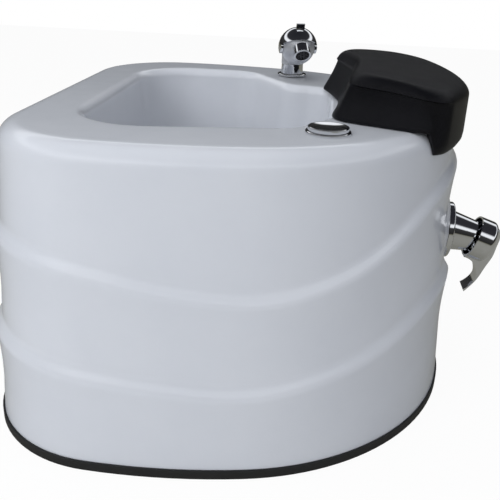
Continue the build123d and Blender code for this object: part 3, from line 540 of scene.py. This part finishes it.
# Foot trim: black rubber channel pushed over the skirt's lower edge. It keeps the laminate off a
# wet floor; its face picks up fine scuffs.
base_rubber, wire, points = new_finish("foot_rubber")
scuffs = noise(wire, points, 60, 5, 0.7)
grit = noise(wire, points, 1400, 2)
close_finish(wire, Base_Color=mixed(wire, scuffs, (0.008, 0.008, 0.009), (0.022, 0.022, 0.023)),
             Roughness=scuffs * 0.3 + 0.42, Normal=relief(wire, grit, 0.0002, 0.5))
paint_nodes(base_rubber, "base_trim")

# Footrest: one moulding of soft polyurethane foam under its own black leather-grained skin, set
# over a plate with two studs. Its bowl side leans and is dished, its ends are hollowed under the
# top's edge, and a lip laps the rim.
pad_low, pad_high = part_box("footrest_pad")
plate_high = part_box("footrest_base")[1]
pad_inner = pad_low.x
pad_half_width = 0.112
pad_spread = 0.42
pad_reach = pad_high.x - end_centre_x
pad_corner = 0.030
pad_middle_in = 0.078
pad_crest = 0.0558
pad_fall = 0.0190
pad_fall_curve = 2.4
pad_side_fall = 0.0035
pad_side_reach = 0.16
pad_edge_share = 0.28
pad_edge_round = 0.014
pad_lean = 0.017
pad_lean_height = 0.045
pad_skew = 0.013
pad_skew_run = 0.08
pad_dish = 0.012
pad_near_bowl = 0.10
end_from, end_blend = 0.55, 0.3
inner_from, inner_blend = 0.75, 0.2
end_hollow = 0.0080
end_hollow_curve = 1.1
inner_hollow = 0.003
hollow_share = 0.60
plate_margin = 0.028
lip_hang = 0.0235
lip_thickness = 0.0098
lip_start = 0.209
lip_turn = 0.009
skin_gap = 0.0001
recess_gap = 0.0003
foot_step = 0.0015
side_rings = 20
pad_around = 240
pad_halvings = 40
pad_farthest = 0.35


def soft_most(first, second, blend):
    """The larger of two distances, rounded where they meet."""
    overlap = np.clip(blend - abs(first - second), 0, None)
    return np.maximum(first, second) + overlap**2 / (4 * blend)


pad_middle = np.array([pad_inner + pad_middle_in, 0.0])


def pad_loop(margin, corner=pad_corner):
    """The footrest's outline from above, a margin inside its edge, in order round its middle."""
    turns = np.linspace(0, 2 * pi, pad_around, endpoint=False)
    rays = np.stack([np.cos(turns), np.sin(turns)], 1)
    near, far = np.zeros(pad_around), np.full(pad_around, pad_farthest)
    for _ in range(pad_halvings):
        reach = (near + far) / 2
        place = pad_middle + rays * reach[:, None]
        flare = abs(place[:, 1]) - pad_half_width - pad_spread * (place[:, 0] - pad_inner)
        inside = soft_most(pad_inner - place[:, 0], flare / sqrt(1 + pad_spread**2), corner)
        rim = np.hypot(place[:, 0] - end_centre_x, place[:, 1]) - pad_reach
        inside = soft_most(inside, rim, corner)
        near = np.where(inside < -margin, reach, near)
        far = np.where(inside < -margin, far, reach)
    return pad_middle + rays * near[:, None]


edge = pad_loop(0)
edge_facing = facing_out(edge)
on_end = np.clip((abs(edge_facing[:, 1]) - end_from) / end_blend, 0, 1)
on_inner = np.clip((-edge_facing[:, 0] - inner_from) / inner_blend, 0, 1)
on_rim = np.clip((edge[:, 0] - lip_start) / lip_turn, 0, 1)
on_rim = on_rim * on_rim * (3 - 2 * on_rim)


def pad_top(place):
    """Height of the footrest's top above the deck: crowned, lower towards the technician."""
    out = np.clip((place[:, 0] - pad_inner) / (pad_high.x - pad_inner), 0, 1)
    across = abs(place[:, 1]) / pad_side_reach
    return pad_crest - pad_fall * out**pad_fall_curve - pad_side_fall * across**2


def hollow(rise):
    """How far the side is hollowed, at a share of its height, at each point of the outline."""
    bend = sin(pi * min(1, max(0, (rise - 0.02) / 0.97))) ** end_hollow_curve
    return on_end * end_hollow * bend + on_inner * inner_hollow * sin(pi * rise)


rings = []
deck = rim_height + skin_gap
plate_edge = pad_loop(plate_margin - 0.0005)
recess = plate_high.z + recess_gap
for share in (0.3, 0.6, 0.85, 1.0):
    rings.append(at_height(pad_middle + (plate_edge - pad_middle) * share, recess))
rings.append(at_height(pad_loop(plate_margin - 0.0008), deck))
skin_inside = pad_loop(lip_thickness)
rings.append(at_height(pad_loop(lip_thickness + 0.006), deck))
rings.append(at_height(skin_inside, deck - on_rim * 0.001))
rings.append(at_height(skin_inside, deck - on_rim * (lip_hang - 0.004)))
rings.append(at_height(pad_loop(lip_thickness * 0.75), deck - on_rim * lip_hang))
rings.append(at_height(pad_loop(lip_thickness * 0.30), deck + 0.0002 - on_rim * lip_hang))
rings.append(at_height(pad_loop(lip_thickness * 0.06),
                       deck + 0.0012 - on_rim * (lip_hang - 0.003)))
top_edge = pad_top(edge) * (1 - pad_edge_share)
for rise in np.linspace(0.05, 1.0, side_rings):
    out = edge - edge_facing * hollow(rise * hollow_share)[:, None]
    low = (1 - rise) * on_rim * (lip_hang - 0.006)
    rings.append(at_height(out, deck + foot_step + (top_edge - foot_step) * rise - low))
for bend in np.linspace(10, 80, 8):
    margin = pad_edge_round * (1 - cos(radians(bend)))
    inner_edge = pad_loop(margin, pad_corner + margin)
    full = pad_top(inner_edge)
    level = top_edge + (full - top_edge) * sin(radians(bend))
    rings.append(at_height(inner_edge, deck + level))
last = rings[-1][:, :2]
for share in (0.96, 0.88, 0.76, 0.6, 0.42, 0.22):
    inward = pad_middle + (last - pad_middle) * share
    rings.append(at_height(inward, deck + pad_top(inward)))
for ring in rings:
    near_bowl = np.clip(1 - (ring[:, 0] - pad_inner) / pad_near_bowl, 0, 1)
    risen = np.clip((ring[:, 2] - deck) / pad_lean_height, 0, 1)
    dished = np.clip(1 - (ring[:, 1] / pad_half_width) ** 2, 0, 1)
    skewed = np.clip(ring[:, 1] / pad_skew_run, 0, 1)
    ring[:, 0] += near_bowl * (pad_lean * risen + pad_dish * dished - pad_skew * skewed)
bpy.ops.object.select_all(action="DESELECT")
bpy.ops.mesh.primitive_uv_sphere_add(segments=pad_around, ring_count=len(rings) + 1)
footrest = bpy.context.object
footrest.name = "footrest_cushion"
for vertex in footrest.data.vertices:
    level = round((pi - acos(max(-1.0, min(1.0, vertex.co.z)))) / pi * (len(rings) + 1))
    if level == 0:
        vertex.co = (*pad_middle, recess)
    elif level == len(rings) + 1:
        vertex.co = (*pad_middle, deck + float(pad_top(pad_middle[None, :])[0]))
    else:
        place = round(atan2(vertex.co.y, vertex.co.x) / (2 * pi) * pad_around) % pad_around
        vertex.co = rings[level - 1][place]
bpy.ops.object.mode_set(mode="EDIT")
bpy.ops.mesh.select_all(action="SELECT")
bpy.ops.mesh.normals_make_consistent(inside=False)
bpy.ops.object.mode_set(mode="OBJECT")
bpy.ops.object.shade_smooth_by_angle(angle=radians(50))

cushion_skin, wire, points = new_finish("footrest_skin")
pebbles = wire.node("ShaderNodeTexVoronoi", {"feature": "DISTANCE_TO_EDGE"},
                    {"Vector": points, "Scale": 520})
creases = wire.math("MINIMUM", pebbles * 4, 1.0)
pores = noise(wire, points, 1500, 2)
handled = noise(wire, points, 26, 3)
grain = creases * 0.7 + pores * 0.3
close_finish(
    wire, Base_Color=mixed(wire, handled, (0.0030, 0.0030, 0.0040), (0.0065, 0.0065, 0.0085)),
    Roughness=handled * 0.12 + 0.38 - creases * 0.05, Specular_IOR_Level=0.20,
    Normal=relief(wire, grain, 0.00025, 0.6))
paint(footrest, cushion_skin)
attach(footrest, "tub")
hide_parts("footrest_pad")

# Chromed brass: the spout's neck, flange, lever and collar, the mixer, the waste control's knob and
# plate, and the drain's flange and plug. Bright plating with faint water marks.
chrome, wire, points = new_finish("bright_chrome")
water_marks = noise(wire, points, 90, 4, 0.6)
dried_drops = wire.node("ShaderNodeTexVoronoi", {}, {"Vector": points, "Scale": 240})
close_finish(
    wire, Base_Color=mixed(wire, water_marks, (0.80, 0.81, 0.83), (0.88, 0.885, 0.90)),
    Metallic=1.0, Roughness=water_marks * 0.045 + wire.math("LESS_THAN", dried_drops, 0.12) * 0.03
    + 0.025, Normal=relief(wire, water_marks, 0.0001, 0.12))
paint_nodes(chrome, "control_escutcheon", "control_knob", "drain_flange", "plug", "spout_flange",
            "spout_neck", "nozzle_collar", "spout_lever", "spout_pins", "mixer_escutcheon",
            "mixer_body", "mixer_lever")

# Spout head: the same brass casting as the neck, brushed and satin plated, which scatters the
# light. It turns on the neck, and the nozzle collar screws into it.
satin, wire, points = new_finish("satin_chrome")
brushed = noise(wire, scaled(wire, points, (0.08, 1, 1)), 1800, 3, 0.6)
close_finish(wire, Base_Color=mixed(wire, brushed, (0.56, 0.57, 0.60), (0.68, 0.69, 0.72)),
             Metallic=0.55, Roughness=brushed * 0.12 + 0.26,
             Normal=relief(wire, brushed, 0.00005, 0.3))
paint_nodes(satin, "spout_head")

# Aerator: moulded insert of black acetal with a fine matt surface. It drops into the nozzle's
# mouth and the collar holds it.
black_plastic, wire, points = new_finish("black_acetal")
mould_grain = noise(wire, points, 1100, 2)
close_finish(
    wire, Base_Color=mixed(wire, mould_grain, (0.012, 0.012, 0.016), (0.022, 0.022, 0.028)),
    Roughness=mould_grain * 0.12 + 0.38, Normal=relief(wire, mould_grain, 0.0001, 0.4))
paint_nodes(black_plastic, "aerator")

# Plywood board across the foot: thin veneers laid crosswise, seen as bands on its cut edge. The
# skirt is bonded round it, and it has a cut-out for the waste.
plywood, wire, points = new_finish("birch_plywood")
stretched = scaled(wire, points, (3, 40, 1))
figure = noise(wire, stretched, 6, 5, 0.6)
depth = wire.node("ShaderNodeSeparateXYZ", {}, {0: points}, "Z")
veneers = wire.math("PINGPONG", depth * 600, 1.0)
shade = figure * 0.6 + veneers * 0.4
close_finish(wire, Base_Color=mixed(wire, shade, (0.36, 0.24, 0.13), (0.62, 0.46, 0.28)),
             Roughness=figure * 0.2 + 0.6, Normal=relief(wire, figure, 0.0003, 0.5))
paint_nodes(plywood, "base_board")

# Basin bearers: two planed softwood blocks with the growth rings on their ends. They are glued
# between the board and the bowl and carry the bowl's floor.
softwood, wire, points = new_finish("planed_pine")
rings_of_growth = wire.node("ShaderNodeTexWave", {"wave_type": "RINGS", "rings_direction": "Y"},
                            {"Vector": points, "Scale": 60, "Distortion": 3.0, "Detail": 3.0,
                             "Detail Scale": 1.5}, "Fac")
fibres = noise(wire, scaled(wire, points, (1, 0.05, 1)), 700, 3)
close_finish(wire, Base_Color=mixed(wire, rings_of_growth, (0.66, 0.47, 0.26), (0.44, 0.27, 0.13)),
             Roughness=fibres * 0.2 + 0.55, Normal=relief(wire, fibres, 0.0002, 0.5))
paint_nodes(softwood, "basin_bearers")

# Footrest base: grey moulded plate in the footrest's underside, with a coarse spark-eroded grain.
# The foam is moulded over it and the studs are set in it.
plate_plastic, wire, points = new_finish("grey_plate_plastic")
spark_grain = noise(wire, points, 900, 3, 0.7)
close_finish(wire, Base_Color=mixed(wire, spark_grain, (0.05, 0.05, 0.055), (0.08, 0.08, 0.085)),
             Roughness=spark_grain * 0.2 + 0.5, Normal=relief(wire, spark_grain, 0.0002, 0.5))
paint_nodes(plate_plastic, "footrest_base")

# Steel studs, wing nuts, washers, spindle and pin: zinc plated and slightly clouded. They hold the
# footrest, the spout and the mixer to the shell from inside.
zinc, wire, points = new_finish("zinc_plated_steel")
clouding = noise(wire, points, 300, 4, 0.65)
drawn = noise(wire, scaled(wire, points, (1, 1, 0.1)), 1600, 2)
close_finish(wire, Base_Color=mixed(wire, clouding, (0.50, 0.51, 0.54), (0.66, 0.67, 0.68)),
             Metallic=1.0, Roughness=clouding * 0.18 + 0.24,
             Normal=relief(wire, drawn, 0.00008, 0.4))
paint_nodes(zinc, "footrest_studs", "footrest_nuts", "control_spindle", "lever_pin",
            "spout_washer", "mixer_washer")

# Seals and gaskets: soft black nitrile with a dusty bloom, nipped between the metal fittings and
# the gelcoat, or fitted in a groove.
nitrile, wire, points = new_finish("nitrile_rubber")
bloom = noise(wire, points, 260, 4, 0.7)
close_finish(wire, Base_Color=mixed(wire, bloom, (0.012, 0.012, 0.012), (0.045, 0.045, 0.043)),
             Roughness=bloom * 0.2 + 0.6, Normal=relief(wire, bloom, 0.0001, 0.4))
paint_nodes(nitrile, "drain_gasket", "plug_seal", "spout_gasket", "spout_seal", "mixer_gasket")

# Brass nuts, tails, the plug's stem and the mixer's stem: machined bar, dulled to a brown gold
# where it has tarnished. They screw up inside the tub, out of sight.
brass, wire, points = new_finish("machined_brass")
tarnish = noise(wire, points, 140, 5, 0.65)
turned = noise(wire, scaled(wire, points, (0.2, 0.2, 1)), 2400, 1)
close_finish(wire, Base_Color=mixed(wire, tarnish, (0.78, 0.56, 0.26), (0.52, 0.36, 0.17)),
             Metallic=1.0, Roughness=tarnish * 0.2 + 0.2, Normal=relief(wire, turned, 0.00006, 0.5))
paint_nodes(brass, "spout_locknut", "mixer_backnut", "mixer_inlets", "mixer_outlet", "hose_nuts",
            "plug_stem", "mixer_stem", "cartridge_ring")

# Waste parts, the waste control's housing and the cartridge: white polypropylene, faintly marbled
# where the melt has flowed. They hang under the bowl and the deck on their nuts.
waste_plastic, wire, points = new_finish("white_waste_plastic")
flow = noise(wire, points, 45, 5, 0.6)
close_finish(wire, Base_Color=mixed(wire, flow, (0.62, 0.62, 0.60), (0.74, 0.74, 0.73)),
             Roughness=flow * 0.15 + 0.38, Normal=relief(wire, flow, 0.0002, 0.3))
paint_nodes(waste_plastic, "drain_nut", "waste_body", "tailpiece", "control_housing",
            "control_locknut", "mixer_cartridge")

# Cable sleeve: ribbed black polyethylene over the wire that lifts the plug. It runs from the waste
# control's housing to the waste body.
cable_sleeve, wire, points = new_finish("cable_sleeve")
ribs = wire.node("ShaderNodeTexWave", {"bands_direction": "Z"}, {"Vector": points, "Scale": 260},
                 "Fac")
wear = noise(wire, points, 200, 3)
close_finish(wire, Base_Color=mixed(wire, wear, (0.010, 0.010, 0.011), (0.024, 0.024, 0.025)),
             Roughness=wear * 0.2 + 0.4, Normal=relief(wire, ribs, 0.0003, 0.5))
paint_nodes(cable_sleeve, "bowden_cable")

# Supply hose: stainless wire braid over rubber, its strands crossing on a slant. Its nuts screw on
# the mixer's outlet and the spout's tail.
braid, wire, points = new_finish("steel_braid")
one_way = wire.node("ShaderNodeTexWave", {"bands_direction": "DIAGONAL"},
                    {"Vector": points, "Scale": 170}, "Fac")
other_way = wire.node("ShaderNodeTexWave", {"bands_direction": "DIAGONAL"},
                      {"Vector": scaled(wire, points, (-1, -1, 1)), "Scale": 170}, "Fac")
strands = one_way * other_way
close_finish(wire, Base_Color=mixed(wire, strands, (0.16, 0.16, 0.17), (0.72, 0.73, 0.75)),
             Metallic=1.0, Roughness=0.5 - strands * 0.2, Normal=relief(wire, strands, 0.0004, 0.7))
paint_nodes(braid, "supply_hose")
